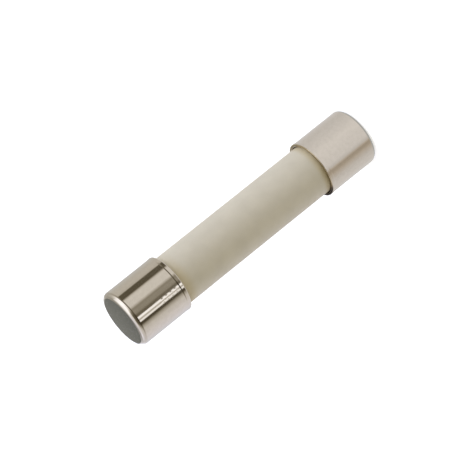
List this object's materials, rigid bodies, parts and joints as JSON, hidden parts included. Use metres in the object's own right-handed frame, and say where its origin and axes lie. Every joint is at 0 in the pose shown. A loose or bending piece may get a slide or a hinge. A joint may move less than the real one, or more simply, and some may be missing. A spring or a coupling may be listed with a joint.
{
  "type": "ceramic cartridge fuse",
  "caption": "Straight ceramic tube fuse with a plain drawn metal cap on each end, a slanted fuse wire soldered into the caps, and a sand-filled bore.",
  "frame": {"origin": "centre of the bottom cap's flat end face, on which the fuse stands", "axes": "+Z along the fuse's axis, from the bottom cap to the top cap. The fuse wire leans in the XZ plane."},
  "size_m": [0.0064, 0.0064, 0.0318],
  "materials": {
    "ceramic": "matte",
    "nickel_plate": "polished",
    "solder": "satin",
    "silvered_wire": "satin",
    "quartz_sand": "matte"
  },
  "bodies": {
    "root": {"ceramic_tube": "ceramic", "bottom_end_cap": "nickel_plate", "top_end_cap": "nickel_plate", "bottom_solder_joint": "solder", "top_solder_joint": "solder", "fuse_wire": "silvered_wire", "sand_filler": "quartz_sand"}
  },
  "joints": []
}
